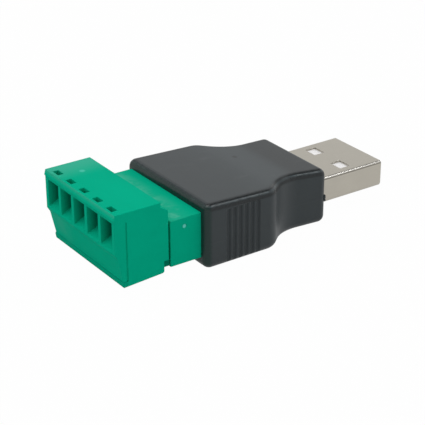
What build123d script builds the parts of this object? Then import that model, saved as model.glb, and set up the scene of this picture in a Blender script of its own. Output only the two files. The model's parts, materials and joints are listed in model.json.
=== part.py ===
from build123d import *
import os

os.makedirs("parts", exist_ok=True)

# A USB plug adapter. A moulded black housing carries the folded metal plug at one end and a
# green pin header at the other, and a green screw-terminal plug pushes onto the header.
# Millimetres. +X points to the metal plug's tip, +Y is across and +Z is up. The origin is at
# the middle of the underside.

# Terminal rows
poles = 5
pitch = 3.81
terminal_post = 0.7
plug_end_margin = 0.395
header_end_margin = 0.06

# Black housing
housing_length = 24.86
housing_front_height = 10.48
housing_middle_height = 9.96
housing_rear_height = 9.06
housing_side_wall = 1.395
housing_tail_wall = 2.18
housing_waist_wall = 1.45
housing_grip_length = 12.5
housing_waist_run = 4.1
housing_bend_radius = 2.9
housing_waist_radius = 7.0
housing_round = 1.2
grip_groove_count = 6
grip_groove_pitch = 1.07
grip_groove_width = 0.84
grip_groove_depth = 0.3
grip_groove_slope = 50
grip_groove_first = 4.07
grip_groove_top_land = 0.8

# Folded metal shell of the plug
shell_width = 12.0
shell_height = 4.5
shell_sheet = 0.3
shell_reach = 12.8
shell_hold = 5.5
shell_centre_height = 4.28
shell_top_bend = 0.45
shell_bottom_bend = 0.85
shell_window_length = 1.95
shell_window_width = 2.5
shell_window_spacing = 6.5
shell_window_setback = 6.34
shell_seam_gap = 0.08
shell_seam_key = 1.3

# White insulator and its contacts
tongue_thickness = 1.95
tongue_setback = 0.4
socket_depth = 11.9
insulator_tail = 0.5
spring_contact_width = 1.0
spring_contact_thickness = 0.25
spring_contact_proud = 0.1
spring_contact_inner_spacing = 2.0
spring_contact_outer_spacing = 7.0
outer_contact_setback = 1.1
inner_contact_setback = 2.1
contact_tail = 2.4

# Circuit board
board_thickness = 1.0
board_head_length = 5.4
board_edge_margin = 1.6
board_tail_width = 11.0
board_hole_radius = 0.7

# Green pin header
header_side_wall = 0.65
header_wall = 0.85
header_back_wall = 2.2
header_depth = 9.2
header_height = 7.38
header_base_height = 1.77
header_showing = 5.34
header_lead_in = 0.3
gate_mark_radius = 0.35
gate_mark_depth = 0.08
gate_mark_setback = 2.48
gate_mark_drop = 1.4
pin_size = 0.9
pin_recess = 1.2
pin_leg_setback = 2.4
pin_leg_reach = 0.6
pin_bend = 0.6

# Green terminal plug, side outline
plug_reach = 15.0
plug_base_height = 1.0
plug_height = 11.77
plug_lip_overhang = 0.17
plug_lip_height = 0.85
plug_lip_slope = 0.25
plug_brow_height = 5.5
plug_brow_step = 0.46
plug_brow_fall = 0.75
plug_toe_setback = 1.29
plug_toe_height = 1.05
plug_toe_overhang = 0.14
plug_toe_fall = 0.25
plug_back_setback = 7.78
plug_back_step = 0.8
plug_heel_setback = 8.2
plug_heel_lift = 0.42
plug_heel_round = 0.35
plug_shoulder_gap = 0.42
plug_shoulder_drop = 1.58
plug_shoulder_lift = 2.25
plug_shoulder_round = 0.25
plug_foot_inset = 0.5
plug_foot_lift = 1.0
plug_foot_gap = 0.1
end_groove_width = 0.3
end_groove_depth = 0.18
end_groove_setback = 1.96
end_groove_base = 0.85
end_groove_length = 9.4

# Nose of the terminal plug and its coding ribs
nose_clearance = 0.1
nose_end_gap = 0.3
nose_lead_in = 0.4
key_rib_width = 0.8
key_rib_height = 0.3
key_slot_clearance = 0.1

# Wire entries
wire_roof = 1.4
wire_sill_height = 5.9
wire_funnel_depth = 2.15
wire_gate_width = 2.1
wire_gate_height = 2.9
bar_setback = 0.15
probe_hole_length = 0.95
probe_hole_width = 1.7
probe_hole_setback = 1.03

# Clamp screws and cages
screw_setback = 4.5
screw_radius = 1.0
screw_head_radius = 1.42
screw_head_height = 1.1
screw_recess = 0.5
screw_slot_width = 0.4
screw_slot_depth = 0.6
screw_well_clearance = 0.12
screw_shelf = 0.45
screw_shelf_clearance = 0.15
running_clearance = 0.05
cage_length = 3.0
cage_sheet = 0.4
cage_side_clearance = 0.1
cage_end_clearance = 0.2
cage_thread_wall = 1.3
cage_headroom = 0.35
cage_bend = 0.35
cage_rib_height = 0.12
cage_rib_width = 0.3
cage_rib_count = 4

# Wire contacts
bar_thickness = 0.8
bar_width = 1.8
bar_rise = 1.7
bar_cage_gap = 0.25
fork_width = 1.3
fork_leaf = 0.45
fork_gape = 0.25
fork_bump_gap = 0.01
fork_bump_length = 0.8
fork_web = 0.7
fork_reach = 6.4
cell_clearance = 0.1
cell_head_length = 1.9
cell_end_wall = 0.7
cell_mouth_clearance = 0.3

# Places along X
overall_length = plug_reach + housing_length + shell_reach
lip_x = -overall_length / 2
collar_x = lip_x + plug_reach
grip_end_x = collar_x + housing_grip_length
waist_x = grip_end_x + housing_waist_run
housing_end_x = collar_x + housing_length
tip_x = housing_end_x + shell_reach
shell_root_x = housing_end_x - shell_hold
insulator_root_x = shell_root_x - insulator_tail
socket_end_x = tip_x - socket_depth
header_front_x = collar_x - header_showing
header_back_x = header_front_x + header_depth
cavity_end_x = header_back_x - header_back_wall
pin_leg_x = header_back_x + pin_leg_setback
wire_face_x = lip_x + plug_lip_overhang
plug_toe_x = wire_face_x + plug_toe_setback
plug_back_x = wire_face_x + plug_back_setback
plug_heel_x = wire_face_x + plug_heel_setback
shoulder_x = header_front_x - plug_shoulder_gap
nose_end_x = cavity_end_x - nose_end_gap
wire_gate_x = wire_face_x + wire_funnel_depth
screw_x = wire_face_x + screw_setback
chamber_front_x = screw_x - cage_length / 2 - cage_end_clearance
chamber_back_x = screw_x + cage_length / 2 + cage_end_clearance
cell_head_x = chamber_back_x + cell_head_length
fork_root_x = cell_head_x - cell_clearance - fork_web

# Places along Z
shell_base_z = shell_centre_height - shell_height / 2
tongue_top_z = shell_base_z + shell_height - shell_sheet
tongue_base_z = tongue_top_z - tongue_thickness
board_top_z = tongue_base_z - spring_contact_proud
board_base_z = board_top_z - board_thickness
header_top_z = header_base_height + header_height
pin_z = header_base_height + header_height / 2
plug_top_z = plug_base_height + plug_height
ceiling_z = plug_top_z - wire_roof
sill_z = plug_base_height + wire_sill_height
bar_base_z = pin_z + bar_rise
bar_top_z = bar_base_z + bar_thickness
screw_head_z = plug_base_height + screw_recess
shelf_z = screw_head_z + screw_head_height + running_clearance
chamber_floor_z = shelf_z + screw_shelf
cage_top_z = ceiling_z - cage_headroom
cage_base_z = bar_base_z - bar_cage_gap - cage_thread_wall
nose_half_height = header_height / 2 - header_wall - nose_clearance
fork_half_height = pin_size / 2 + fork_gape + fork_leaf

# Widths across Y
pole_places = [(pole - (poles - 1) / 2) * pitch for pole in range(poles)]
plug_width = poles * pitch + 2 * plug_end_margin
header_width = poles * pitch + 2 * header_end_margin
cavity_width = header_width - 2 * header_side_wall
nose_width = cavity_width - 2 * nose_clearance
housing_width = header_width + 2 * housing_side_wall
tail_width = shell_width + 2 * housing_tail_wall
waist_width = shell_width + 2 * housing_waist_wall
board_head_width = housing_width - 2 * board_edge_margin
window_width = pitch - terminal_post
cage_width = window_width - 2 * cage_side_clearance
bar_slot_width = bar_width + 2 * cell_clearance
fork_slot_width = fork_width + 2 * cell_clearance
key_slot_width = key_rib_width + 2 * key_slot_clearance
outer_contacts = [-spring_contact_outer_spacing / 2, spring_contact_outer_spacing / 2]
inner_contacts = [-spring_contact_inner_spacing / 2, spring_contact_inner_spacing / 2]


# Circuit board: a wide head under the header pins and a narrow tail through the waist.
with BuildPart() as circuit_board:
    with BuildSketch(Plane.XY.offset(board_base_z)) as board_outline:
        with Locations((header_back_x, 0)):
            Rectangle(board_head_length, board_head_width, align=(Align.MIN, Align.CENTER))
            Rectangle(insulator_root_x - header_back_x, board_tail_width, align=(Align.MIN, Align.CENTER))
    extrude(amount=board_thickness)
    board_envelope = circuit_board.part
    with BuildSketch(Plane.XY.offset(board_base_z)) as board_holes:
        with Locations(*[(pin_leg_x, y) for y in pole_places]):
            Circle(board_hole_radius)
    extrude(amount=board_thickness, mode=Mode.SUBTRACT)
circuit_board.part.label = "circuit_board"
export_step(circuit_board.part, "parts/circuit_board.step")

# Header pins: square wire, straight through the header's back wall and bent down into the board.
header_pins = []
for number, y in enumerate(pole_places, start=1):
    with BuildPart() as header_pin:
        with BuildLine(Plane.XZ.offset(-y)) as pin_path:
            FilletPolyline(
                (header_front_x + pin_recess, pin_z),
                (pin_leg_x, pin_z),
                (pin_leg_x, board_base_z - pin_leg_reach),
                radius=pin_bend,
            )
        with BuildSketch(Plane(pin_path.line @ 0, z_dir=pin_path.line % 0)):
            Rectangle(pin_size, pin_size)
        sweep()
        chamfer(header_pin.faces().sort_by(Axis.X)[0].edges(), pin_size / 4)
    header_pin.part.label = f"header_pin_{number}"
    export_step(header_pin.part, f"parts/header_pin_{number}.step")
    header_pins.append(header_pin.part)

# Pin header: a five-sided box with coding slots in its roof and square holes for the pins.
with BuildPart() as pin_header:
    with BuildSketch(Plane.YZ.offset(header_front_x)):
        with Locations((0, pin_z)):
            Rectangle(header_width, header_height)
    extrude(amount=header_depth)
    with BuildSketch(Plane.YZ.offset(header_front_x)):
        with Locations((0, pin_z)):
            Rectangle(cavity_width, header_height - 2 * header_wall)
    extrude(amount=cavity_end_x - header_front_x, mode=Mode.SUBTRACT)
    mouth_edges = pin_header.faces().sort_by(Axis.X)[0].inner_wires()[0].edges()
    chamfer(mouth_edges, header_lead_in)
    with BuildSketch(Plane.YZ.offset(header_front_x)):
        with Locations(*[(y, header_top_z - header_wall) for y in pole_places]):
            Rectangle(key_slot_width, key_rib_height, align=(Align.CENTER, Align.MIN))
    extrude(amount=cavity_end_x - header_front_x, mode=Mode.SUBTRACT)
    with BuildSketch(Plane.YZ.offset(cavity_end_x)):
        with Locations(*[(y, pin_z) for y in pole_places]):
            Rectangle(pin_size, pin_size)
    extrude(amount=header_back_wall, mode=Mode.SUBTRACT)
    with BuildSketch(Plane.XZ.offset(header_width / 2)):
        with Locations((header_front_x + gate_mark_setback, header_top_z - gate_mark_drop)):
            Circle(gate_mark_radius)
    extrude(amount=-gate_mark_depth, mode=Mode.SUBTRACT)
pin_header.part.label = "pin_header"
export_step(pin_header.part, "parts/pin_header.step")

# Metal shell: one folded sheet with tight upper bends, easier lower bends, latch windows in
# both faces and a keyed seam under the plug.
with BuildPart() as plug_shell:
    with BuildSketch(Plane.YZ.offset(shell_root_x)) as shell_section:
        with Locations((0, shell_centre_height)):
            Rectangle(shell_width, shell_height)
        fillet(shell_section.vertices().group_by(Axis.Y)[-1], shell_top_bend)
        fillet(shell_section.vertices().group_by(Axis.Y)[0], shell_bottom_bend)
    extrude(amount=tip_x - shell_root_x)
    shell_envelope = plug_shell.part
    with BuildSketch(Plane.YZ.offset(shell_root_x)) as shell_bore:
        add(shell_section.sketch_local)
        offset(amount=-shell_sheet, mode=Mode.REPLACE)
    extrude(amount=tip_x - shell_root_x, mode=Mode.SUBTRACT)
    with BuildSketch(Plane.XY.offset(shell_base_z)):
        with Locations((tip_x - shell_window_setback, 0)):
            with GridLocations(0, shell_window_spacing, 1, 2):
                Rectangle(shell_window_length, shell_window_width)
    extrude(amount=shell_height, mode=Mode.SUBTRACT)
    with BuildSketch(Plane.XY.offset(shell_base_z)):
        with BuildLine():
            key_x = housing_end_x + shell_reach / 4
            Polyline(
                (shell_root_x, 0),
                (key_x, 0),
                (key_x - shell_seam_key / 4, shell_seam_key),
                (key_x + shell_seam_key * 5 / 4, shell_seam_key),
                (key_x + shell_seam_key, 0),
                (tip_x, 0),
            )
        trace(line_width=shell_seam_gap)
    extrude(amount=shell_sheet, mode=Mode.SUBTRACT)
plug_shell.part.label = "plug_shell"
export_step(plug_shell.part, "parts/plug_shell.step")

# Spring contacts: flat strips along the underside of the tongue, tails on the board.
spring_contacts = []
contact_rows = [(y, outer_contact_setback) for y in outer_contacts]
contact_rows += [(y, inner_contact_setback) for y in inner_contacts]
for number, (y, setback) in enumerate(sorted(contact_rows), start=1):
    with BuildPart() as spring_contact:
        with BuildSketch(Plane.XY.offset(board_top_z)):
            with Locations((insulator_root_x - contact_tail, y)):
                Rectangle(
                    tip_x - setback - insulator_root_x + contact_tail,
                    spring_contact_width,
                    align=(Align.MIN, Align.CENTER),
                )
        extrude(amount=spring_contact_thickness)
    spring_contact.part.label = f"spring_contact_{number}"
    export_step(spring_contact.part, f"parts/spring_contact_{number}.step")
    spring_contacts.append(spring_contact.part)

# Insulator: a block that closes the shell's root, with the tongue standing out of it.
with BuildPart() as insulator:
    with BuildSketch(Plane.YZ.offset(insulator_root_x)) as insulator_section:
        add(shell_bore.sketch_local)
    extrude(amount=socket_end_x - insulator_root_x)
    insulator_root = insulator.part
    with BuildSketch(Plane.YZ.offset(socket_end_x)) as tongue_section:
        add(shell_bore.sketch_local)
        with Locations((0, tongue_base_z)):
            Rectangle(shell_width, tongue_thickness, align=(Align.CENTER, Align.MIN), mode=Mode.INTERSECT)
    extrude(amount=tip_x - tongue_setback - socket_end_x)
    for contact in spring_contacts:
        add(contact, mode=Mode.SUBTRACT)
insulator.part.label = "insulator"
export_step(insulator.part, "parts/insulator.step")

# Black housing: one moulding round the header, the board and the root of the metal shell. In
# plan it is a grip, a waist and a flared tail, and its top falls towards the metal plug.
with BuildPart() as housing:
    with BuildSketch(Plane.XY) as housing_plan:
        with BuildLine():
            Polyline(
                (collar_x, housing_width / 2),
                (grip_end_x, housing_width / 2),
                (waist_x, waist_width / 2),
                (housing_end_x, tail_width / 2),
                (housing_end_x, -tail_width / 2),
                (waist_x, -waist_width / 2),
                (grip_end_x, -housing_width / 2),
                (collar_x, -housing_width / 2),
                close=True,
            )
        make_face()
        fillet(housing_plan.vertices().group_by(Axis.X)[2], housing_waist_radius)
        fillet(housing_plan.vertices().group_by(Axis.X)[1], housing_bend_radius)
    extrude(amount=housing_front_height)
    with BuildSketch(Plane.XZ) as housing_side:
        with BuildLine():
            Polyline(
                (collar_x, 0),
                (collar_x, housing_front_height),
                (grip_end_x, housing_middle_height),
                (housing_end_x, housing_rear_height),
                (housing_end_x, 0),
                close=True,
            )
        make_face()
    extrude(amount=housing_width, both=True, mode=Mode.INTERSECT)
    top_break = housing.edges().filter_by(Axis.Y).filter_by_position(Axis.X, grip_end_x - 1, grip_end_x + 1)
    level_faces = housing.faces().filter_by(lambda face: abs(face.normal_at().Z) > 0.9)
    upright_edges = housing.edges().filter_by(Axis.Z).group_by(Axis.X)
    fillet(level_faces.edges() - top_break + upright_edges[0] + upright_edges[-1], housing_round)
    with BuildSketch(Plane.XY) as grip_grooves:
        for place in range(grip_groove_count):
            groove_x = collar_x + grip_groove_first + place * grip_groove_pitch
            for side, turn in ((-1, 0), (1, 180)):
                with Locations((groove_x, side * housing_width / 2)):
                    Trapezoid(
                        grip_groove_width,
                        grip_groove_depth,
                        grip_groove_slope,
                        rotation=turn,
                        align=(Align.CENTER, Align.MIN),
                    )
    extrude(amount=housing_middle_height - grip_groove_top_land, mode=Mode.SUBTRACT)
    with BuildSketch(Plane.YZ.offset(collar_x)):
        with Locations((0, pin_z)):
            Rectangle(header_width, header_height)
    extrude(amount=header_back_x - collar_x, mode=Mode.SUBTRACT)
    for embedded in [board_envelope, shell_envelope, insulator_root, *header_pins, *spring_contacts]:
        add(embedded, mode=Mode.SUBTRACT)
housing.part.label = "housing"
export_step(housing.part, "parts/housing.step")

# Wire contacts: a flat bar under the wire, a web down to the pin's height and a two-leaf fork.
for number, y in enumerate(pole_places, start=1):
    with BuildPart() as wire_contact:
        with BuildSketch(Plane.XZ.offset(-y)):
            with Locations((wire_gate_x + bar_setback, bar_base_z)):
                Rectangle(
                    fork_root_x + fork_web - wire_gate_x - bar_setback,
                    bar_thickness,
                    align=(Align.MIN, Align.MIN),
                )
            with Locations((fork_root_x, pin_z - fork_half_height)):
                Rectangle(fork_web, bar_top_z - pin_z + fork_half_height, align=(Align.MIN, Align.MIN))
        extrude(amount=bar_width / 2, both=True)
        with BuildSketch(Plane.XZ.offset(-y)):
            leaf_x = fork_root_x + fork_web
            leaf_end_x = leaf_x + fork_reach
            bump_x = leaf_end_x - fork_bump_length
            inner = pin_size / 2 + fork_gape
            bump = pin_size / 2 + fork_bump_gap
            for side in (1, -1):
                with BuildLine():
                    Polyline(
                        (leaf_x, pin_z + side * inner),
                        (bump_x - fork_bump_length, pin_z + side * inner),
                        (bump_x, pin_z + side * bump),
                        (leaf_end_x, pin_z + side * inner),
                        (leaf_end_x, pin_z + side * fork_half_height),
                        (leaf_x, pin_z + side * fork_half_height),
                        close=True,
                    )
                make_face()
        extrude(amount=fork_width / 2, both=True)
    wire_contact.part.label = f"wire_contact_{number}"
    export_step(wire_contact.part, f"parts/wire_contact_{number}.step")

# Wire cages: a folded band round the bar, threaded below, with gripping ribs under its roof.
for number, y in enumerate(pole_places, start=1):
    with BuildPart() as wire_cage:
        with BuildSketch(Plane.YZ.offset(screw_x - cage_length / 2)) as cage_section:
            with Locations((y, cage_base_z)):
                Rectangle(cage_width, cage_top_z - cage_base_z, align=(Align.CENTER, Align.MIN))
            chamfer(cage_section.vertices(), cage_bend)
            with Locations((y, cage_base_z + cage_thread_wall)):
                Rectangle(
                    cage_width - 2 * cage_sheet,
                    cage_top_z - cage_sheet - cage_base_z - cage_thread_wall,
                    align=(Align.CENTER, Align.MIN),
                    mode=Mode.SUBTRACT,
                )
        extrude(amount=cage_length)
        with BuildSketch(Plane.XZ.offset(-y)):
            with Locations((screw_x, cage_top_z - cage_sheet)):
                with GridLocations(cage_length / cage_rib_count, 0, cage_rib_count, 1):
                    Rectangle(cage_rib_width, cage_rib_height, align=(Align.CENTER, Align.MAX))
        extrude(amount=cage_width / 2 - cage_sheet, both=True)
        with BuildSketch(Plane.XY.offset(cage_base_z)):
            with Locations((screw_x, y)):
                Circle(screw_radius + running_clearance)
        extrude(amount=cage_thread_wall, mode=Mode.SUBTRACT)
    wire_cage.part.label = f"wire_cage_{number}"
    export_step(wire_cage.part, f"parts/wire_cage_{number}.step")

# Clamp screws: slotted heads face down in the wells, tips bear on the bars.
for number, y in enumerate(pole_places, start=1):
    with BuildPart() as clamp_screw:
        with BuildSketch(Plane.XY.offset(screw_head_z)):
            with Locations((screw_x, y)):
                Circle(screw_head_radius)
        extrude(amount=screw_head_height)
        with BuildSketch(Plane.XY.offset(screw_head_z + screw_head_height)):
            with Locations((screw_x, y)):
                Circle(screw_radius)
        extrude(amount=bar_base_z - screw_head_z - screw_head_height)
        with BuildSketch(Plane.XY.offset(screw_head_z)):
            with Locations((screw_x, y)):
                Rectangle(screw_slot_width, 2 * screw_head_radius)
        extrude(amount=screw_slot_depth, mode=Mode.SUBTRACT)
    clamp_screw.part.label = f"clamp_screw_{number}"
    export_step(clamp_screw.part, f"parts/clamp_screw_{number}.step")

# Terminal plug body: the moulding that holds the clamps, open to the wires in front and to
# the screwdriver below, with a nose that fits the header.
with BuildPart() as terminal_body:
    with BuildSketch(Plane.XZ) as plug_side:
        with BuildLine():
            Polyline(
                (lip_x + plug_lip_slope, plug_top_z),
                (lip_x, plug_top_z - plug_lip_height),
                (wire_face_x, plug_top_z - plug_lip_height - plug_lip_overhang),
                (wire_face_x, plug_base_height + plug_brow_height),
                (wire_face_x + plug_brow_step, plug_base_height + plug_brow_height - plug_brow_fall),
                (plug_toe_x, plug_base_height + plug_toe_height),
                (plug_toe_x - plug_toe_overhang, plug_base_height + plug_toe_height - plug_toe_fall),
                (plug_toe_x, plug_base_height),
                (plug_heel_x, plug_base_height + plug_heel_lift),
                (plug_heel_x, plug_base_height + plug_shoulder_lift),
                (shoulder_x, plug_base_height + plug_shoulder_lift),
                (shoulder_x, plug_top_z - plug_shoulder_drop),
                (plug_back_x, plug_top_z - plug_back_step),
                (plug_back_x, plug_top_z),
                close=True,
            )
        make_face()
        fillet(plug_side.vertices().group_by(Axis.Y)[1], plug_heel_round)
    extrude(amount=plug_width / 2, both=True)
    shoulder_edges = terminal_body.edges().filter_by(Axis.Z).group_by(Axis.X)[-1]
    fillet(shoulder_edges, plug_shoulder_round)
    with BuildSketch(Plane.XY.offset(plug_base_height + plug_foot_lift)):
        with Locations((plug_heel_x, 0)):
            Rectangle(
                header_front_x - plug_foot_gap - plug_heel_x,
                plug_width - 2 * plug_foot_inset,
                align=(Align.MIN, Align.CENTER),
            )
    extrude(amount=plug_shoulder_lift - plug_foot_lift)

    with BuildSketch(Plane.YZ.offset(shoulder_x)):
        with Locations((0, pin_z)):
            Rectangle(nose_width, 2 * nose_half_height)
    extrude(amount=nose_end_x - shoulder_x)
    chamfer(terminal_body.faces().sort_by(Axis.X)[-1].edges(), nose_lead_in)
    with BuildSketch(Plane.YZ.offset(shoulder_x)):
        with Locations(*[(y, pin_z + nose_half_height) for y in pole_places]):
            Rectangle(key_rib_width, key_rib_height, align=(Align.CENTER, Align.MIN))
    extrude(amount=nose_end_x - nose_lead_in - shoulder_x)

    with BuildSketch(Plane.XY.offset(plug_base_height)):
        with Locations(*[(screw_x, y) for y in pole_places]):
            Circle(screw_head_radius + screw_well_clearance)
    extrude(amount=shelf_z - plug_base_height, mode=Mode.SUBTRACT)
    with BuildSketch(Plane.XY.offset(shelf_z)):
        with Locations(*[(screw_x, y) for y in pole_places]):
            Circle(screw_radius + screw_shelf_clearance)
    extrude(amount=screw_shelf, mode=Mode.SUBTRACT)
    with BuildSketch(Plane.XY.offset(chamber_floor_z)):
        with Locations(*[(chamber_front_x, y) for y in pole_places]):
            Rectangle(chamber_back_x - chamber_front_x, window_width, align=(Align.MIN, Align.CENTER))
    extrude(amount=ceiling_z - chamber_floor_z, mode=Mode.SUBTRACT)
    with BuildSketch(Plane.XY.offset(ceiling_z)):
        with Locations(*[(wire_face_x + probe_hole_setback, y) for y in pole_places]):
            Rectangle(probe_hole_length, probe_hole_width)
    extrude(amount=wire_roof, mode=Mode.SUBTRACT)

    for y in pole_places:
        with BuildSketch(Plane.XZ.offset(-y)):
            with BuildLine():
                Polyline(
                    (wire_face_x, sill_z),
                    (wire_gate_x, bar_top_z),
                    (wire_gate_x, ceiling_z),
                    (wire_face_x, ceiling_z),
                    close=True,
                )
            make_face()
        extrude(amount=window_width / 2, both=True, mode=Mode.SUBTRACT)
    with BuildSketch(Plane.YZ.offset(wire_gate_x)):
        with Locations(*[(y, bar_base_z) for y in pole_places]):
            Rectangle(wire_gate_width, wire_gate_height, align=(Align.CENTER, Align.MIN))
    extrude(amount=chamber_front_x - wire_gate_x, mode=Mode.SUBTRACT)
    with BuildSketch(Plane.YZ.offset(chamber_back_x)):
        with Locations(*[(y, pin_z - fork_half_height) for y in pole_places]):
            Rectangle(
                bar_slot_width,
                bar_top_z + cell_clearance - pin_z + fork_half_height,
                align=(Align.CENTER, Align.MIN),
            )
    extrude(amount=cell_head_length, mode=Mode.SUBTRACT)
    with BuildSketch(Plane.YZ.offset(cell_head_x)):
        with Locations(*[(y, pin_z) for y in pole_places]):
            Rectangle(fork_slot_width, 2 * (fork_half_height + cell_clearance))
    extrude(amount=nose_end_x - cell_end_wall - cell_head_x, mode=Mode.SUBTRACT)
    with BuildSketch(Plane.YZ.offset(nose_end_x - cell_end_wall)):
        with Locations(*[(y, pin_z) for y in pole_places]):
            Rectangle(pin_size + 2 * cell_mouth_clearance, pin_size + 2 * cell_mouth_clearance)
    extrude(amount=cell_end_wall, mode=Mode.SUBTRACT)

    groove_x = wire_face_x + end_groove_setback
    groove_z = plug_base_height + end_groove_base
    for end in (Plane.XZ.offset(plug_width / 2), Plane.XZ.offset(end_groove_depth - plug_width / 2)):
        with BuildSketch(end):
            with BuildLine():
                Polyline(
                    (groove_x - end_groove_width / 2, groove_z),
                    (groove_x + end_groove_width / 2, groove_z),
                    (groove_x + end_groove_width / 4, groove_z + end_groove_length),
                    (groove_x - end_groove_width / 4, groove_z + end_groove_length),
                    close=True,
                )
            make_face()
        extrude(amount=-end_groove_depth, mode=Mode.SUBTRACT)
terminal_body.part.label = "terminal_body"
export_step(terminal_body.part, "parts/terminal_body.step")
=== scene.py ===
"""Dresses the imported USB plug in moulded, plated and threaded pieces, on a pale floor"""

import json
import math

import bmesh
import bpy
from bpy.props import FloatProperty, FloatVectorProperty, IntProperty, PointerProperty
from mathutils import Matrix, Vector


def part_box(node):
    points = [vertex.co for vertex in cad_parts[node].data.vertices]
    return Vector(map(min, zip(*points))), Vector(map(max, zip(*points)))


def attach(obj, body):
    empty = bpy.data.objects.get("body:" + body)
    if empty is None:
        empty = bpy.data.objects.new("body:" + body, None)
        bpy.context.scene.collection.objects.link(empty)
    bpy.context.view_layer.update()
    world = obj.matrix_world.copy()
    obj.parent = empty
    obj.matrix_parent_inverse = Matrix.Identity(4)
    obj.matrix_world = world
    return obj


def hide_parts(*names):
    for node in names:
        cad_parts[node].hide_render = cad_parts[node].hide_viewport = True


bl_info = {
    "name": "USB plug with screw terminals",
    "version": (1, 0, 0),
    "blender": (4, 5, 0),
    "location": "3D View > Sidebar > USB Plug",
    "description": "Dresses the plug's CAD frame and sets its studio",
    "category": "Add Mesh",
}

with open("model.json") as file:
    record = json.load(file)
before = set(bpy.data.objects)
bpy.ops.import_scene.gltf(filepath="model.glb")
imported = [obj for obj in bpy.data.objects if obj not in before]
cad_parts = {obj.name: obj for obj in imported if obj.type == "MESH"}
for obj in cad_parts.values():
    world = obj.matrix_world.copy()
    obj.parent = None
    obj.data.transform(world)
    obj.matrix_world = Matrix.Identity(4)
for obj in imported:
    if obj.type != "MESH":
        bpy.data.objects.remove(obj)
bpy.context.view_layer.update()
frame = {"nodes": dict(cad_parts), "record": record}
POLES = range(1, 6)
CONTACTS = range(1, 5)

# The housing's parting line over the base, and the flash's place from the tail's end and the middle
PARTING_HEIGHT = 0.00428
FLASH_INSET = 0.0002
FLASH_SIDE = -0.0077

# A clamp screw's head height, its thread's outer radius, and facets round it
SCREW_HEAD = 0.0012
THREAD_CREST = 0.001
THREAD_FACETS = 32

# Points closer than these are one, on a CAD node's copy and where a thread's turns meet
MERGE_DISTANCE = 2e-6
SEAM_DISTANCE = 1e-7

# Two faces that turn less than the first are one flat face, and more than the second a fold
FLAT_TURN = math.radians(0.4)
FOLD_TURN = math.radians(12.0)

# Colour of black plastic where it has been rubbed
RUBBED_GREY = (0.2, 0.21, 0.21)

# What the lamps point at
LAMP_AIM = Vector((0.0, 0.0, 0.005))


def length(name, description, default):
    return FloatProperty(
        name=name, description=description, default=default, min=0.0, unit="LENGTH", precision=6
    )


def share(name, description, default):
    return FloatProperty(
        name=name, description=description, default=default, min=0.0, max=1.0, subtype="FACTOR"
    )


def angle(name, description, degrees):
    return FloatProperty(
        name=name, description=description, default=math.radians(degrees), subtype="ANGLE"
    )


def power(name, description, default):
    return FloatProperty(name=name, description=description, default=default, min=0.0, unit="POWER")


def position(name, description, default):
    return FloatVectorProperty(
        name=name, description=description, default=default, subtype="TRANSLATION", unit="LENGTH", precision=6
    )


def colour(name, description, default):
    return FloatVectorProperty(
        name=name, description=description, default=default, size=3, min=0.0, max=1.0, subtype="COLOR"
    )


class PlugSizes(bpy.types.PropertyGroup):
    """Sizes of the moulded edges, marks and threads"""

    green_edge: length("Green edge", "Rounding of the green mouldings' crisp edges", 0.00008)
    insulator_edge: length("Insulator edge", "Rounding of the white insulator's edges", 0.00006)
    metal_edge: length("Metal edge", "Rounding of cut sheet and wire edges", 0.00004)
    edge_steps: IntProperty(
        name="Edge steps", description="Facets across each rounded edge", default=2, min=1, max=6
    )
    flash_height: length("Flash height", "Height of the flash left at the tail's corner", 0.0008)
    flash_width: length("Flash width", "Width of that flash", 0.0007)
    flash_reach: length("Flash reach", "How far that flash stands out", 0.0004)
    screw_edge: length("Screw edge", "Rounding of the screw heads and their slots", 0.0001)
    thread_pitch: length("Thread pitch", "Travel of a wire cage for each turn of its screw", 0.0004)
    thread_depth: length("Thread depth", "Depth of the clamp screws' thread", 0.00016)


class PlugColours(bpy.types.PropertyGroup):
    """Colours of the mouldings and metals"""

    black: colour("Black plastic", "Overmoulded housing", (0.029, 0.0375, 0.041))
    green: colour("Green plastic", "Pin header and terminal plug", (0.001, 0.42, 0.25))
    white: colour("White plastic", "Insulator in the metal plug", (0.93, 0.92, 0.92))
    nickel: colour("Nickel", "Plated shell of the metal plug", (0.50, 0.472, 0.41))
    gilt: colour("Gilt", "Spring contacts", (0.80, 0.58, 0.24))
    tin: colour("Tin", "Header pins and wire contacts", (0.66, 0.65, 0.62))
    zinc: colour("Zinc", "Clamp screws and wire cages", (0.60, 0.60, 0.57))
    solder_mask: colour("Solder mask", "Circuit board", (0.02, 0.14, 0.06))


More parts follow.
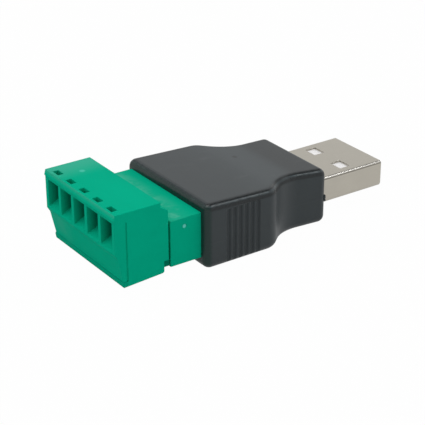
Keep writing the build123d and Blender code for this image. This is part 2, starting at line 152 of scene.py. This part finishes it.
class PlugStage(bpy.types.PropertyGroup):
    """Camera, lamps and floor"""

    lens: FloatProperty(
        name="Lens", description="Focal length on a 36 mm sensor", default=121.85, unit="CAMERA"
    )
    distance: length("Distance", "From the camera to the point it looks at", 0.224)
    azimuth: angle("Azimuth", "Camera's bearing", -34.603)
    elevation: angle("Elevation", "Camera's height", 25.772)
    roll: angle("Roll", "Camera's roll", -0.237)
    aim: position("Aim", "Point beside which the camera looks", (0.00067, 0.0, 0.00507))
    frame_right: length("Frame right", "How far the aim stands right of the frame's middle", 0.002723)
    frame_up: length("Frame up", "How far the aim stands above the frame's middle", 0.002745)
    key_power: power("Key lamp", "Soft lamp over the object", 0.77)
    key_width: length("Key lamp width", "Diameter of that lamp", 0.34)
    key_place: position("Key lamp place", "Where that lamp hangs", (-0.09, 0.05, 0.42))
    edge_power: power("Edge lamp", "Smaller lamp that lights bent edges", 0.13)
    edge_width: length("Edge lamp width", "Diameter of that lamp", 0.10)
    edge_place: position("Edge lamp place", "Where that lamp hangs", (0.204, -0.114, 0.324))
    wall_strength: share("Walls", "Light from low down all round", 0.9)
    ceiling_strength: share("Ceiling", "Light from overhead", 0.3)
    wall_top: share("Wall top", "How steeply up the walls' light starts to fade", 0.5)
    ceiling_edge: share("Ceiling edge", "How steeply up the ceiling's light begins", 0.72)
    floor_tone: share("Floor tone", "Grey of the floor", 0.6)
    floor_white: share("Floor white", "How far the seen floor is lifted to white", 0.985)
    floor_mirror: share("Mirrored floor", "How far the floor is lifted where the object mirrors it", 0.6)


class Wire:
    """A node's output that can be used in sums"""

    def __init__(self, graph, socket):
        self.graph = graph
        self.socket = socket

    def maths(self, operation, first, second=0.0):
        return self.graph.node("ShaderNodeMath", {"operation": operation}, {0: first, 1: second})

    def __abs__(self):
        return self.maths("ABSOLUTE", self)

    def __add__(self, other):
        return self.maths("ADD", self, other)

    def __radd__(self, other):
        return self.maths("ADD", other, self)

    def __sub__(self, other):
        return self.maths("SUBTRACT", self, other)

    def __rsub__(self, other):
        return self.maths("SUBTRACT", other, self)

    def __mul__(self, other):
        return self.maths("MULTIPLY", self, other)

    def __rmul__(self, other):
        return self.maths("MULTIPLY", other, self)

    def __gt__(self, other):
        return self.maths("GREATER_THAN", self, other)

    def __lt__(self, other):
        return self.maths("LESS_THAN", self, other)


class Graph:
    """A node tree that is built up a node at a time"""

    def __init__(self, owner):
        owner.use_nodes = True
        self.tree = owner.node_tree

    def node(self, kind, settings=None, inputs=None, output=0):
        """Adds a node: its settings first, then the values or links of its sockets"""
        made = self.tree.nodes.new(kind)
        for name, value in (settings or {}).items():
            setattr(made, name, value)
        for key, value in (inputs or {}).items():
            self.feed(made.inputs[key], value)
        return Wire(self, made.outputs[output])

    def feed(self, socket, value):
        """Links a wire to a socket, or gives the socket a value"""
        if isinstance(value, Wire):
            self.tree.links.new(value.socket, socket)
        else:
            socket.default_value = value

    def component(self, vector, letter):
        return self.node("ShaderNodeSeparateXYZ", inputs={0: vector}, output=letter)


class Finish(Graph):
    """One material, built up from its Principled shader"""

    def __init__(self, name, settings):
        self.material = bpy.data.materials.new(name)
        super().__init__(self.material)
        self.shader = self.tree.nodes["Principled BSDF"]
        for socket, value in settings.items():
            self.set(socket, value)
        self.place = self.node("ShaderNodeTexCoord", output="Object")

    def set(self, socket, value):
        self.feed(self.shader.inputs[socket], value)

    def axis(self, letter):
        """The place along an axis, in metres"""
        return self.component(self.place, letter)

    def facing(self, letter):
        """How far the surface faces along an axis, from -1 to 1"""
        return self.component(self.node("ShaderNodeTexCoord", output="Normal"), letter)

    def leaning(self, radius, letter):
        """How far the surface, evened out over radius, faces along an axis"""
        way = self.node(
            "ShaderNodeVectorTransform",
            {"vector_type": "NORMAL", "convert_from": "WORLD", "convert_to": "OBJECT"},
            {0: self.rounded(radius)},
        )
        return self.component(way, letter)

    def noise(self, size, detail=2.0, roughness=0.5, stretch=(1.0, 1.0, 1.0)):
        place = self.node("ShaderNodeMapping", inputs={"Vector": self.place, "Scale": stretch})
        return self.node(
            "ShaderNodeTexNoise",
            inputs={"Vector": place, "Scale": 1.0 / size, "Detail": detail, "Roughness": roughness},
        )

    def cells(self, size):
        return self.node(
            "ShaderNodeTexVoronoi", inputs={"Vector": self.place, "Scale": 1.0 / size}, output="Distance"
        )

    def ramp(self, value, low, high):
        """0 below low and 1 above high, with a soft step between them"""
        return self.node(
            "ShaderNodeMapRange",
            {"interpolation_type": "SMOOTHSTEP"},
            {"Value": value, "From Min": low, "From Max": high},
        )

    def fall(self, value, low, high):
        """1 below low and 0 above high"""
        return 1.0 - self.ramp(value, low, high)

    def band(self, value, middle, width):
        """1 where value is at middle, fading to 0 a width away"""
        return self.fall(abs(value - middle), 0.0, width)

    def rounded(self, radius):
        """The surface's normal, evened out over radius"""
        return self.node("ShaderNodeBevel", {"samples": 4}, {"Radius": radius})

    def edges(self, radius, gain=3.0):
        """1 on an edge and 0 on open faces"""
        plain = self.node("ShaderNodeNewGeometry", output="Normal")
        same = self.node(
            "ShaderNodeVectorMath",
            {"operation": "DOT_PRODUCT"},
            {0: self.rounded(radius), 1: plain},
            output="Value",
        )
        return self.ramp((1.0 - same) * gain, 0.05, 1.0)

    def spot(self, centre, radius, softness=0.35):
        """1 inside a ball at centre, in metres"""
        away = self.node(
            "ShaderNodeVectorMath", {"operation": "DISTANCE"}, {0: self.place, 1: centre}, output="Value"
        )
        return self.fall(away, radius * (1.0 - softness), radius * (1.0 + softness))

    def mix(self, first, second, factor):
        return self.node(
            "ShaderNodeMix", {"data_type": "RGBA"}, {0: factor, 6: first, 7: second}, output=2
        )

    def layers(self, ground, *coats):
        """Lays coats over a ground colour in turn, each as thick as its mask"""
        for coat, mask in coats:
            ground = self.mix(ground, coat, mask)
        return ground

    def bump(self, height, depth, normal=None):
        inputs = {"Height": height, "Distance": depth, "Strength": 1.0}
        if normal is not None:
            inputs["Normal"] = normal
        return self.node("ShaderNodeBump", inputs=inputs)


def tone(base, gain):
    """A colour made lighter or darker, ready for a colour socket"""
    return tuple(min(1.0, part * gain) for part in base) + (1.0,)


def towards(base, other, share_of_other):
    """A colour part of the way to another, ready for a colour socket"""
    return tuple(a + (b - a) * share_of_other for a, b in zip(base, other)) + (1.0,)


def black_plastic(name, base):
    """Satin overmoulding with a fine spark-eroded grain, paler on rubbed edges"""
    finish = Finish(name, {"Specular IOR Level": 0.32})
    along, side, high = finish.axis("X"), abs(finish.axis("Y")), finish.axis("Z")
    level = finish.facing("Z")
    above = high > 0.006

    # The moulding's own texture, its wear, and one smudge
    patches = finish.noise(0.006, 3.0)
    grain = finish.noise(0.00016, 2.0, 0.6)
    rubs = finish.ramp(finish.noise(0.0012, 3.0, 0.6, (0.25, 1.0, 1.0)), 0.6, 0.78)
    edge = finish.edges(0.00025)
    smudge = finish.spot((0.00357, 0.0029, 0.0097), 0.00045)

    # The rounded shoulder: painted shade along its brow at the top, a painted glint below it, broken up by
    # noise, and a painted shade line under that
    shoulder = finish.fall(level, 0.95, 0.99) * finish.ramp(level, 0.2, 0.4) * above
    up = level + 0.12 * (finish.noise(0.0009, 1.0) - 0.5) * shoulder
    rounding = finish.ramp(abs(finish.leaning(0.001, "Y")), 0.04, 0.18)
    brow = rounding * finish.ramp(up, 0.8, 0.88) * above
    under = finish.fall(up, 0.56, 0.66) * finish.ramp(up, 0.12, 0.34) * (side > 0.0072) * above
    waist = finish.band(along, 0.0042, 0.0026)
    # Noise that breaks the painted glint into patches
    glint_breakup = finish.ramp(finish.noise(0.0009, 3.0, 0.6), 0.34, 0.6) * (side > 0.006) * above
    painted_glint = finish.ramp(up, 0.66, 0.74) * finish.fall(up, 0.8, 0.86) * glint_breakup * (1.0 - waist)

    # Painted sheen over the top's middle, painted shade on its tail, and painted shade with a painted green
    # reflection of the header on the slope down to it
    painted_top_sheen = finish.band(along, 0.0038, 0.008) * (up > 0.9)
    tail = finish.ramp(along, 0.006, 0.0088) * (up > 0.9)
    front = finish.fall(along, -0.0108, -0.0101) * finish.fall(up, 0.7, 0.97)

    painted = finish.layers(
        finish.mix(tone(base, 0.86), tone(base, 1.16), patches),
        (towards(base, RUBBED_GREY, 0.3), edge * 0.55),
        (towards(base, RUBBED_GREY, 0.2), rubs * 0.12),
        # Painted sheen and painted shade on the top
        (tone(base, 1.6), painted_top_sheen * 0.5),
        (tone(base, 0.62), tail),
        # Painted shade on the shoulder's brow and under the painted glint, then that painted glint
        (tone(base, 0.36), brow * 0.9 + under * 0.9),
        (tone(base, 2.0), painted_glint),
        # Painted shade and a painted green reflection on the front slope
        (towards(tone(base, 0.3), (0.001, 0.036, 0.026), 0.6), front * 0.8),
        (tone(base, 0.45), smudge * 0.8),
    )
    finish.set("Base Color", painted)
    finish.set("Roughness", 0.34 + 0.1 * grain - 0.05 * edge - 0.04 * rubs + shoulder * (0.34 * waist - 0.12))
    parting = finish.fall(abs(high - PARTING_HEIGHT), 0.00002, 0.00006)
    ripple = 3.0 * finish.noise(0.001, 1.0) * shoulder
    height = grain + 0.5 * finish.noise(0.0006, 2.0) + parting * 1.4 + ripple
    finish.set("Normal", finish.bump(height, 0.000009, finish.rounded(0.0001)))
    return finish.material


def green_plastic(name, base):
    """Moulded terminal plastic with flow shading and paler gate marks"""
    finish = Finish(name, {"Specular IOR Level": 0.004})
    along, across, high = finish.axis("X"), finish.axis("Y"), finish.axis("Z")
    level = finish.facing("Z")
    flow = finish.noise(0.005, 3.0, 0.55, (1.0, 0.6, 1.6))
    grain = finish.noise(0.0002, 2.0, 0.6)
    edge = finish.edges(0.0002)
    header_gate = finish.spot((-0.01419, -0.00959, 0.00775), 0.0003, 0.25)
    roof_gate = finish.spot((-0.02193, 0.0061, 0.01277), 0.0004, 0.5)

    # Painted shade deeper in the wire funnels
    inside = finish.ramp(along, -0.0261, -0.0243) * (along < -0.0192) * (abs(across) < 0.0095)
    depth = inside * (high > 0.0052) * (high < 0.01135) * (level < 0.5) * (level > -0.05)

    # Painted shade low on the terminal plug: on its toe, as a shadow line along the ledge over it, and on the
    # foot next to the header
    nose = along < -0.0241
    toe = (high < 0.00182) * nose
    ledge = finish.band(high, 0.00193, 0.00016) * nose
    foot = (high < 0.0033) * (along > -0.01792) * (along < -0.0167)

    # Paler marks: a painted sheen on the roof's front lip, a film on the face, a painted sheen over the
    # roof's far end, and pale patches on the header
    lip = (along < -0.02605) * finish.ramp(high, 0.01215, 0.0127)
    smear = finish.spot((-0.0252, 0.0065, 0.0052), 0.0028, 0.7) * (high < 0.0058)
    film = smear * finish.ramp(finish.noise(0.004, 2.0), 0.3, 0.55)
    painted_far_sheen = finish.ramp(across, 0.004, 0.009) * (high > 0.0127)
    header_top = finish.band(high, 0.00915, 0.0002) * finish.band(along, -0.0155, 0.0035)
    bloom = header_top * finish.ramp(finish.noise(0.0028, 3.0, 0.6), 0.42, 0.6)

    painted = finish.layers(
        finish.mix(tone(base, 0.93), tone(base, 1.07), flow),
        # Painted shade in the funnels
        (tone(base, 0.32), depth * 0.8),
        # Painted shade on the toe, then a painted shadow line along the ledge and painted shade on the foot
        (tone(base, 0.85), toe),
        (tone(base, 0.45), ledge * 0.7 + foot),
        # Painted sheen on the roof's front lip, with the film on the face
        (towards(base, (0.09, 0.44, 0.32), 0.6), lip * 0.5 + film * 0.35),
        # Painted sheen over the roof's far end
        (towards(base, (0.09, 0.45, 0.33), 0.6), painted_far_sheen * 0.8),
        (towards(base, (0.02, 0.5, 0.34), 0.5), edge * 0.4),
        (towards(base, (0.105, 0.51, 0.36), 0.6), bloom * 0.9 + header_top * 0.2),
        ((0.147, 0.7, 0.59, 1.0), header_gate + roof_gate * 0.4),
    )
    finish.set("Base Color", painted)
    finish.set("Roughness", 0.44 + 0.14 * grain + 0.08 * flow)
    height = grain + 0.7 * finish.noise(0.0009, 2.0)
    finish.set("Normal", finish.bump(height, 0.000007, finish.rounded(0.00007)))
    return finish.material


def white_plastic(name, base):
    """Glass-filled insulator"""
    finish = Finish(name, {"Specular IOR Level": 0.4})
    cloud = finish.noise(0.003, 3.0)
    grain = finish.noise(0.00015, 2.0)
    dust = finish.ramp(finish.noise(0.0004, 4.0, 0.7), 0.64, 0.74)
    body = finish.mix(tone(base, 0.95), tone(base, 1.05), cloud)
    finish.set("Base Color", finish.mix(body, tone(base, 0.72), dust * 0.4))
    finish.set("Roughness", 0.42 + 0.15 * grain)
    finish.set("Normal", finish.bump(grain, 0.000006, finish.rounded(0.00006)))
    return finish.material


def nickel_sheet(name, base):
    """Dull nickel over rolled sheet, drawn along the plug, with a painted shade line and a painted highlight
    line at its bend
    """
    finish = Finish(name, {"Metallic": 1.0})
    cloud = finish.noise(0.004, 4.0, 0.6)
    rolled = finish.noise(0.00012, 3.0, 0.6, (0.04, 1.0, 1.0))
    speck = finish.ramp(finish.noise(0.0005, 3.0, 0.65), 0.62, 0.76)
    up = finish.facing("Z")
    above = finish.axis("Z") > 0.0045
    # Painted shade line and painted highlight line along the bend
    painted_bend_shade = finish.ramp(up, 0.08, 0.2) * finish.fall(up, 0.42, 0.6) * above
    painted_bend_glint = finish.ramp(up, 0.5, 0.66) * finish.fall(up, 0.9, 0.98) * above
    plated_sheet = finish.layers(
        finish.mix(tone(base, 0.9), tone(base, 1.08), cloud),
        (tone(base, 0.7), speck * 0.35),
        (tone(base, 0.3), painted_bend_shade * 0.8),
        ((0.84, 0.82, 0.78, 1.0), painted_bend_glint * 0.75),
    )
    finish.set("Base Color", plated_sheet)
    finish.set("Roughness", 0.24 + 0.1 * cloud + 0.06 * rolled - 0.12 * painted_bend_glint)
    finish.set("Normal", finish.bump(rolled + 0.6 * cloud, 0.000004, finish.rounded(0.00005)))
    return finish.material


def plated(name, base, roughness, pit_size):
    """Small stamped or turned metal with a thin plate, brighter on its edges"""
    finish = Finish(name, {"Metallic": 1.0})
    cloud = finish.noise(0.0012, 3.0, 0.6)
    pits = finish.cells(pit_size)
    edge = finish.edges(0.00012)
    body = finish.mix(tone(base, 0.8), tone(base, 1.1), cloud)
    finish.set("Base Color", finish.mix(body, tone(base, 1.25), edge * 0.6))
    finish.set("Roughness", roughness + 0.16 * cloud - 0.08 * edge)
    finish.set("Normal", finish.bump(pits, 0.000004, finish.rounded(0.00004)))
    return finish.material


def solder_mask(name, base):
    """Green lacquer over woven laminate, with broad copper showing through as darker tracks"""
    finish = Finish(name, {"Specular IOR Level": 0.55, "Coat Weight": 0.3})
    weave = finish.node(
        "ShaderNodeTexWave",
        {"bands_direction": "Y"},
        {"Vector": finish.place, "Scale": 900.0, "Distortion": 1.5},
        output="Fac",
    )
    tracks = finish.fall(abs(finish.noise(0.0022, 1.0) - 0.5), 0.03, 0.05)
    body = finish.mix(tone(base, 0.9), tone(base, 1.2), weave)
    finish.set("Base Color", finish.mix(body, tone(base, 0.6), tracks * 0.6))
    finish.set("Roughness", 0.3 + 0.1 * weave)
    finish.set("Normal", finish.bump(weave + tracks, 0.000006))
    return finish.material


# Each finish: the function that builds it, its colour, and for plated metal its roughness and pits
FINISHES = {
    "black_satin_plastic": (black_plastic, "black"),
    "green_moulded_plastic": (green_plastic, "green"),
    "white_insulator_plastic": (white_plastic, "white"),
    "dull_nickel_sheet": (nickel_sheet, "nickel"),
    "gilt_metal": (plated, "gilt", 0.22, 0.00008),
    "tinned_metal": (plated, "tin", 0.3, 0.0001),
    "zinc_plate": (plated, "zinc", 0.34, 0.00012),
    "solder_masked_board": (solder_mask, "solder_mask"),
}


def material(name):
    """A finish of the table, made once and then shared"""
    build, colour_name, *values = FINISHES[name]
    base = getattr(bpy.context.scene.plug_colours, colour_name)
    return bpy.data.materials.get(name) or build(name, base, *values)


def merged_copy(node):
    """A CAD node's mesh, merged and with its flat faces made whole"""
    shape = bmesh.new()
    shape.from_mesh(frame["nodes"][node].data)
    bmesh.ops.remove_doubles(shape, verts=shape.verts, dist=MERGE_DISTANCE)
    bmesh.ops.dissolve_limit(shape, angle_limit=FLAT_TURN, verts=shape.verts, edges=shape.edges)
    return shape


def folds(shape):
    """The edges where two faces meet at more than a slight turn"""
    joined = [edge for edge in shape.edges if len(edge.link_faces) == 2]
    return [edge for edge in joined if edge.calc_face_angle(0.0) >= FOLD_TURN]


def soften(shape, width):
    """Rounds every fold"""
    bmesh.ops.bevel(
        shape,
        geom=folds(shape),
        offset=width,
        offset_type="OFFSET",
        segments=bpy.context.scene.plug_sizes.edge_steps,
        profile=0.5,
        affect="EDGES",
        clamp_overlap=False,
        material=-1,
    )


def cut(shape, height, way):
    """Cuts off what is above a height, or with a way of -1 what is below it"""
    everything = shape.verts[:] + shape.edges[:] + shape.faces[:]
    bmesh.ops.bisect_plane(
        shape, geom=everything, plane_co=(0, 0, height), plane_no=(0, 0, way), clear_outer=True
    )


def blob(shape, centre, size, turn):
    """A small uneven lump of flash"""
    made = bmesh.ops.create_icosphere(shape, subdivisions=3, radius=0.5)
    for vert in made["verts"]:
        way = vert.co.normalized()
        vert.co *= 1.0 + 0.16 * math.sin(7 * way.x + 2) * math.sin(6 * way.y + turn) * math.cos(5 * way.z)
    bmesh.ops.scale(shape, vec=size, verts=made["verts"])
    bmesh.ops.rotate(shape, cent=(0, 0, 0), matrix=Matrix.Rotation(turn, 3, "Z"), verts=made["verts"])
    bmesh.ops.translate(shape, vec=centre, verts=made["verts"])


def mesh_of(shape, name):
    """Writes a finished shape to a mesh"""
    mesh = bpy.data.meshes.new(name)
    shape.to_mesh(mesh)
    shape.free()
    return mesh


def show(name, data):
    """Puts a mesh, lamp or camera in the scene"""
    made = bpy.data.objects.new(name, data)
    bpy.context.scene.collection.objects.link(made)
    return made


def body_of(node):
    """The body of the record that carries a CAD node"""
    return next(name for name, nodes in frame["record"]["behaviour"]["bodies"].items() if node in nodes)


def piece(name, shape, node, finish):
    """Turns a finished shape into an object that stands for a CAD node and rides on its body"""
    for face in shape.faces:
        face.smooth = True
    made = show(name, mesh_of(shape, name))
    made.data.materials.append(material(finish))
    shading = made.modifiers.new("Weighted Normal", "WEIGHTED_NORMAL")
    shading.weight = 90
    shading.keep_sharp = True
    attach(made, body_of(node))
    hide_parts(node)


def dress(name, node, finish, edge):
    """Makes a piece of a CAD node as it is, with its folds rounded"""
    shape = merged_copy(node)
    soften(shape, edge)
    piece(name, shape, node, finish)


class MakeHousing(bpy.types.Operator):
    """Black overmoulding with its rounded grooves and the flash at its parting line"""

    bl_idname = "usb_plug.housing"
    bl_label = "Housing"

    def execute(self, context):
        sizes = context.scene.plug_sizes
        reach, rise = sizes.flash_reach, sizes.flash_height
        tail_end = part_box("housing")[1].x
        shape = merged_copy("housing")
        for edge in folds(shape):
            edge.smooth = False
        corner = Vector((tail_end - FLASH_INSET, FLASH_SIDE, PARTING_HEIGHT))
        blob(shape, corner, (reach, sizes.flash_width, rise), turn=-0.6)
        blob(shape, corner - Vector((0, 0, 0.7 * rise)), (reach,) * 3, turn=0.8)
        piece("housing_moulding", shape, "housing", "black_satin_plastic")
        return {"FINISHED"}


class MakePinHeader(bpy.types.Operator):
    """Green header box and its bent pins"""

    bl_idname = "usb_plug.pin_header"
    bl_label = "Pin header"

    def execute(self, context):
        sizes = context.scene.plug_sizes
        dress("header_moulding", "pin_header", "green_moulded_plastic", sizes.green_edge)
        for pole in POLES:
            node = f"header_pin_{pole}"
            dress(f"header_wire_{pole}", node, "tinned_metal", sizes.metal_edge)
        return {"FINISHED"}


class MakeMetalPlug(bpy.types.Operator):
    """Folded shell of the metal plug, its white insulator and the spring contacts under the tongue"""

    bl_idname = "usb_plug.metal_plug"
    bl_label = "Metal plug"

    def execute(self, context):
        sizes = context.scene.plug_sizes
        dress("shell_sheet", "plug_shell", "dull_nickel_sheet", sizes.metal_edge)
        edge = sizes.insulator_edge
        dress("insulator_tongue", "insulator", "white_insulator_plastic", edge)
        for contact in CONTACTS:
            node = f"spring_contact_{contact}"
            dress(f"contact_strip_{contact}", node, "gilt_metal", sizes.metal_edge)
        return {"FINISHED"}


class MakeTerminalPlug(bpy.types.Operator):
    """Green terminal plug moulding"""

    bl_idname = "usb_plug.terminal_plug"
    bl_label = "Terminal plug"

    def execute(self, context):
        edge = context.scene.plug_sizes.green_edge
        dress("terminal_moulding", "terminal_body", "green_moulded_plastic", edge)
        return {"FINISHED"}


class MakeWireClamps(bpy.types.Operator):
    """Wire contacts with their forks, and the rising cages round them"""

    bl_idname = "usb_plug.wire_clamps"
    bl_label = "Wire clamps"

    def execute(self, context):
        edge = context.scene.plug_sizes.metal_edge
        for pole in POLES:
            dress(f"fork_contact_{pole}", f"wire_contact_{pole}", "tinned_metal", edge)
            dress(f"clamp_cage_{pole}", f"wire_cage_{pole}", "zinc_plate", edge)
        return {"FINISHED"}


class MakeClampScrews(bpy.types.Operator):
    """Slotted clamp screws with rolled threads"""

    bl_idname = "usb_plug.clamp_screws"
    bl_label = "Clamp screws"

    def execute(self, context):
        sizes = context.scene.plug_sizes
        for pole in POLES:
            node = f"clamp_screw_{pole}"
            low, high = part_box(node)
            shape = merged_copy(node)
            soften(shape, sizes.screw_edge)
            self.thread(shape, (low + high) / 2, low.z + SCREW_HEAD, high.z, sizes)
            piece(f"slotted_screw_{pole}", shape, node, "zinc_plate")
        return {"FINISHED"}

    def thread(self, shape, centre, root_z, tip_z, sizes):
        """Cuts off the plain shank above the head and spins a threaded one in its place"""
        pitch = sizes.thread_pitch
        cut(shape, root_z, 1)
        bmesh.ops.holes_fill(shape, edges=shape.edges)
        shank = bmesh.new()
        turns = int((tip_z - root_z) / pitch) + 3
        verts = []
        for step in range(2 * turns):
            radius = THREAD_CREST - (sizes.thread_depth if step % 2 else 0.0)
            verts.append(shank.verts.new((centre.x + radius, centre.y, root_z - pitch + step * pitch / 2)))
        edges = [shank.edges.new(pair) for pair in zip(verts, verts[1:])]
        bmesh.ops.spin(
            shank,
            geom=verts + edges,
            cent=centre,
            axis=(0, 0, 1),
            dvec=(0, 0, pitch / THREAD_FACETS),
            angle=2 * math.pi,
            steps=THREAD_FACETS,
            use_merge=False,
        )
        bmesh.ops.remove_doubles(shank, verts=shank.verts, dist=SEAM_DISTANCE)
        cut(shank, root_z, -1)
        cut(shank, tip_z, 1)
        bmesh.ops.holes_fill(shank, edges=shank.edges)
        bmesh.ops.recalc_face_normals(shank, faces=shank.faces)
        spare = mesh_of(shank, "shank")
        shape.from_mesh(spare)
        bpy.data.meshes.remove(spare)


class MakeCircuitBoard(bpy.types.Operator):
    """Lacquer on the circuit board sealed inside the housing"""

    bl_idname = "usb_plug.circuit_board"
    bl_label = "Circuit board"

    def execute(self, context):
        board = frame["nodes"]["circuit_board"]
        board.data.materials.clear()
        board.data.materials.append(material("solder_masked_board"))
        return {"FINISHED"}


class MakeStage(bpy.types.Operator):
    """Pale floor, soft lamps, white surroundings and the photograph's camera"""

    bl_idname = "usb_plug.stage"
    bl_label = "Stage"

    def execute(self, context):
        scene = context.scene
        stage = scene.plug_stage
        self.floor(stage)
        self.lamp("key_lamp", stage.key_power, stage.key_width, stage.key_place)
        self.lamp("edge_lamp", stage.edge_power, stage.edge_width, stage.edge_place)
        self.surroundings(scene, stage)
        self.camera(scene, stage)
        scene.view_settings.view_transform = "Standard"
        return {"FINISHED"}

    def floor(self, stage):
        """Pale floor, seen by the camera as almost white but for the object's shadow"""
        shape = bmesh.new()
        bmesh.ops.create_grid(shape, x_segments=8, y_segments=8, size=3.0)
        finish = Finish("pale_floor", {"Roughness": 0.9, "Specular IOR Level": 0.1})
        grey = (stage.floor_tone,) * 3
        finish.set("Base Color", finish.mix(tone(grey, 0.995), tone(grey, 1.0), finish.noise(0.03, 2.0)))
        seen = finish.node("ShaderNodeLightPath", output="Is Camera Ray")
        mirrored = finish.node("ShaderNodeLightPath", output="Is Glossy Ray")
        glow = finish.node("ShaderNodeEmission", inputs={"Strength": 1.0})
        lifted = seen * stage.floor_white + mirrored * stage.floor_mirror
        lit = Wire(finish, finish.shader.outputs[0])
        both = finish.node("ShaderNodeMixShader", inputs={0: lifted, 1: lit, 2: glow})
        finish.feed(finish.tree.nodes["Material Output"].inputs["Surface"], both)
        made = show("floor", mesh_of(shape, "floor"))
        made.data.materials.append(finish.material)

    def lamp(self, name, watts, width, place):
        light = bpy.data.lights.new(name, "AREA")
        light.energy = watts
        light.shape = "DISK"
        light.size = width
        made = show(name, light)
        made.location = place
        made.rotation_euler = (Vector(place) - LAMP_AIM).to_track_quat("Z", "Y").to_euler()

    def surroundings(self, scene, stage):
        """A room of white light, dimmer overhead, that the camera sees as plain white"""
        scene.world = bpy.data.worlds.new("white_room")
        room = Graph(scene.world)
        background = room.tree.nodes["Background"]
        background.inputs["Color"].default_value = (1.0, 1.0, 1.0, 1.0)
        way = room.node("ShaderNodeTexCoord", output="Generated")
        strength = room.node(
            "ShaderNodeMapRange",
            {"interpolation_type": "SMOOTHSTEP"},
            {
                "Value": room.component(way, "Z"),
                "From Min": stage.wall_top,
                "From Max": stage.ceiling_edge,
                "To Min": stage.wall_strength,
                "To Max": stage.ceiling_strength,
            },
        )
        seen = room.node("ShaderNodeLightPath", output="Is Camera Ray")
        room.feed(background.inputs["Strength"], strength * (1.0 - seen) + seen)

    def camera(self, scene, stage):
        """The photograph's viewpoint"""
        data = bpy.data.cameras.new("camera")
        data.lens = stage.lens
        data.sensor_width = 36.0
        data.clip_start = 0.01
        data.clip_end = 20.0
        bearing, height, roll = stage.azimuth, stage.elevation, stage.roll
        back = Vector(
            (math.sin(bearing) * math.cos(height), -math.cos(bearing) * math.cos(height), math.sin(height))
        )
        right = Vector((math.cos(bearing), math.sin(bearing), 0.0))
        up = back.cross(right)
        across = right * math.cos(roll) + up * math.sin(roll)
        upward = up * math.cos(roll) - right * math.sin(roll)
        target = Vector(stage.aim) - across * stage.frame_right - upward * stage.frame_up
        turn = Matrix((across, upward, back)).transposed().to_4x4()
        made = show("camera", data)
        made.matrix_world = Matrix.Translation(target + back * stage.distance) @ turn
        scene.camera = made


STEPS = (
    MakeHousing,
    MakePinHeader,
    MakeMetalPlug,
    MakeTerminalPlug,
    MakeWireClamps,
    MakeClampScrews,
    MakeCircuitBoard,
    MakeStage,
)


class PlugPanel(bpy.types.Panel):
    """Lists the plug's pieces and settings"""

    bl_idname = "VIEW3D_PT_usb_plug"
    bl_label = "USB plug"
    bl_space_type = "VIEW_3D"
    bl_region_type = "UI"
    bl_category = "USB Plug"

    def draw(self, context):
        for step in STEPS:
            self.layout.operator(step.bl_idname)
        for group in (context.scene.plug_sizes, context.scene.plug_colours, context.scene.plug_stage):
            box = self.layout.box()
            for name in group.bl_rna.properties.keys():
                if name not in ("rna_type", "name"):
                    box.prop(group, name)


CLASSES = (PlugSizes, PlugColours, PlugStage, *STEPS, PlugPanel)


def register():
    for each in CLASSES:
        bpy.utils.register_class(each)
    bpy.types.Scene.plug_sizes = PointerProperty(type=PlugSizes)
    bpy.types.Scene.plug_colours = PointerProperty(type=PlugColours)
    bpy.types.Scene.plug_stage = PointerProperty(type=PlugStage)


def unregister():
    del bpy.types.Scene.plug_stage
    del bpy.types.Scene.plug_colours
    del bpy.types.Scene.plug_sizes
    for each in reversed(CLASSES):
        bpy.utils.unregister_class(each)


def main():
    register()
    bpy.ops.usb_plug.housing()
    bpy.ops.usb_plug.pin_header()
    bpy.ops.usb_plug.metal_plug()
    bpy.ops.usb_plug.terminal_plug()
    bpy.ops.usb_plug.wire_clamps()
    bpy.ops.usb_plug.clamp_screws()
    bpy.ops.usb_plug.circuit_board()
    bpy.ops.usb_plug.stage()


if __name__ == "__main__":
    main()
